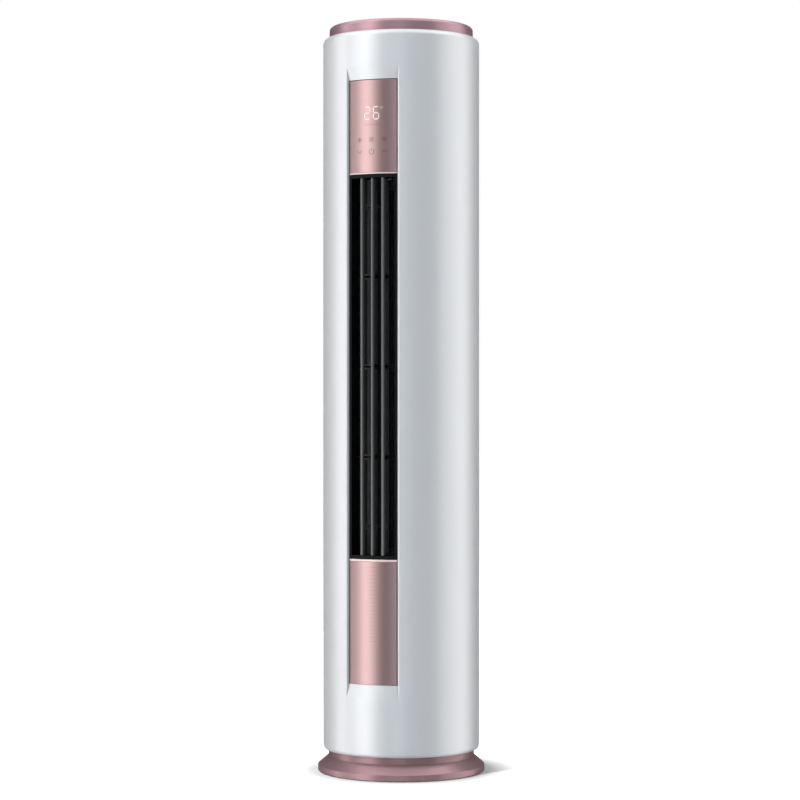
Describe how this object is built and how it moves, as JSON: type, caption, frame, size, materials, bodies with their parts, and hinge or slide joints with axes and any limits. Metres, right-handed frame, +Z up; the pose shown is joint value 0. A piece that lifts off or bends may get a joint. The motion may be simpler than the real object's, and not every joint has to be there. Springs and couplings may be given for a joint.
{
  "type": "floor standing air conditioner",
  "caption": "Tall round floor standing air conditioner with a vertical front air outlet, swinging vertical louvres, a control panel above, and intake grilles at the back.",
  "frame": {"origin": "on the floor, under the middle of the round base", "axes": "+Z up; the air outlet faces -Y; +X is to the right of someone who looks at the outlet"},
  "size_m": [0.3944, 0.3944, 1.76],
  "materials": {
    "white_casing": "satin white",
    "rose_panel": "brushed rose gold",
    "rose_plastic": "satin rose metallic",
    "black_plastic": "satin black",
    "grey_plastic": "moulded grey",
    "foam_plastic": "matt off-white",
    "motor": "moulded grey over a steel core",
    "steel": "galvanised",
    "fins": "bare fins",
    "copper": "bare copper",
    "brass": "machined brass",
    "rubber": "black rubber",
    "board": "green circuit board",
    "net": "grey net"
  },
  "bodies": {
    "housing": {"front_casing": "white_casing", "rear_casing": "white_casing", "display_panel": "rose_panel", "lower_panel": "rose_panel", "base_cover": "rose_plastic", "top_cap": "rose_plastic", "outlet_frame": "black_plastic", "pipe_collar": "grey_plastic", "top_deck": "grey_plastic", "display_holder": "grey_plastic", "bearing_cup": "grey_plastic", "drain_pan": "grey_plastic", "drain_hose": "grey_plastic", "terminal_block": "grey_plastic", "run_capacitor": "grey_plastic", "volute_wall": "foam_plastic", "tongue_wall": "foam_plastic", "fan_motor": "motor", "casing_screw_1": "steel", "casing_screw_2": "steel", "casing_screw_3": "steel", "casing_screw_4": "steel", "base_pan": "steel", "frame_post_left": "steel", "frame_post_right": "steel", "lower_deck": "steel", "upper_deck": "steel", "swing_motor": "steel", "motor_strap": "steel", "pipe_bracket": "steel", "electrical_box": "steel", "electrical_lid": "steel", "coil_fins": "fins", "coil_end_left": "copper", "coil_end_right": "copper", "gas_pipe": "copper", "liquid_pipe": "copper", "gas_nut": "brass", "liquid_nut": "brass", "foot_1": "rubber", "foot_2": "rubber", "foot_3": "rubber", "foot_4": "rubber", "fan_bearing": "rubber", "display_board": "board", "control_board": "board"},
    "vane_left": {"louvre_left": "black_plastic"},
    "vane_centre": {"louvre_centre": "black_plastic", "swing_shaft": "foam_plastic"},
    "vane_right": {"louvre_right": "black_plastic"},
    "link_lower": {"link_bar_lower": "black_plastic"},
    "link_upper": {"link_bar_upper": "black_plastic"},
    "fan": {"fan_rotor": "black_plastic", "motor_shaft": "steel", "fan_axle": "steel"},
    "grille_left": {"intake_grille_left": "white_casing", "filter_left": "net"},
    "grille_right": {"intake_grille_right": "white_casing", "filter_right": "net"}
  },
  "joints": [
    {"name": "louvre_swing", "type": "hinge", "parent": "housing", "child": "vane_centre", "pos_m": [0, -0.165, 0.9545], "axis": [0, 0, 1], "range_deg": [-38, 38]},
    {"name": "louvre_left_swing", "type": "hinge", "parent": "housing", "child": "vane_left", "pos_m": [-0.026, -0.165, 0.9545], "axis": [0, 0, 1], "range_deg": [-38, 38]},
    {"name": "louvre_right_swing", "type": "hinge", "parent": "housing", "child": "vane_right", "pos_m": [0.026, -0.165, 0.9545], "axis": [0, 0, 1], "range_deg": [-38, 38]},
    {"name": "link_lower_pin", "type": "hinge", "parent": "vane_centre", "child": "link_lower", "pos_m": [0, -0.149, 0.5845], "axis": [0, 0, 1], "range_deg": [-38, 38]},
    {"name": "link_upper_pin", "type": "hinge", "parent": "vane_centre", "child": "link_upper", "pos_m": [0, -0.149, 1.3245], "axis": [0, 0, 1], "range_deg": [-38, 38]},
    {"name": "fan_spin", "type": "hinge", "parent": "housing", "child": "fan", "pos_m": [-0.006, -0.03, 0.9545], "axis": [0, 0, 1], "continuous": true},
    {"name": "grille_left_tilt", "type": "hinge", "parent": "housing", "child": "grille_left", "pos_m": [-0.092, 0.15935, 0.5025], "axis": [-0.866, -0.5, 0], "range_deg": [0, 12]},
    {"name": "grille_right_tilt", "type": "hinge", "parent": "housing", "child": "grille_right", "pos_m": [0.092, 0.15935, 0.5025], "axis": [-0.866, 0.5, 0], "range_deg": [0, 12]}
  ],
  "couplings": [
    {"joint": "louvre_left_swing", "follows": "louvre_swing", "ratio": 1},
    {"joint": "louvre_right_swing", "follows": "louvre_swing", "ratio": 1},
    {"joint": "link_lower_pin", "follows": "louvre_swing", "ratio": -1},
    {"joint": "link_upper_pin", "follows": "louvre_swing", "ratio": -1}
  ]
}
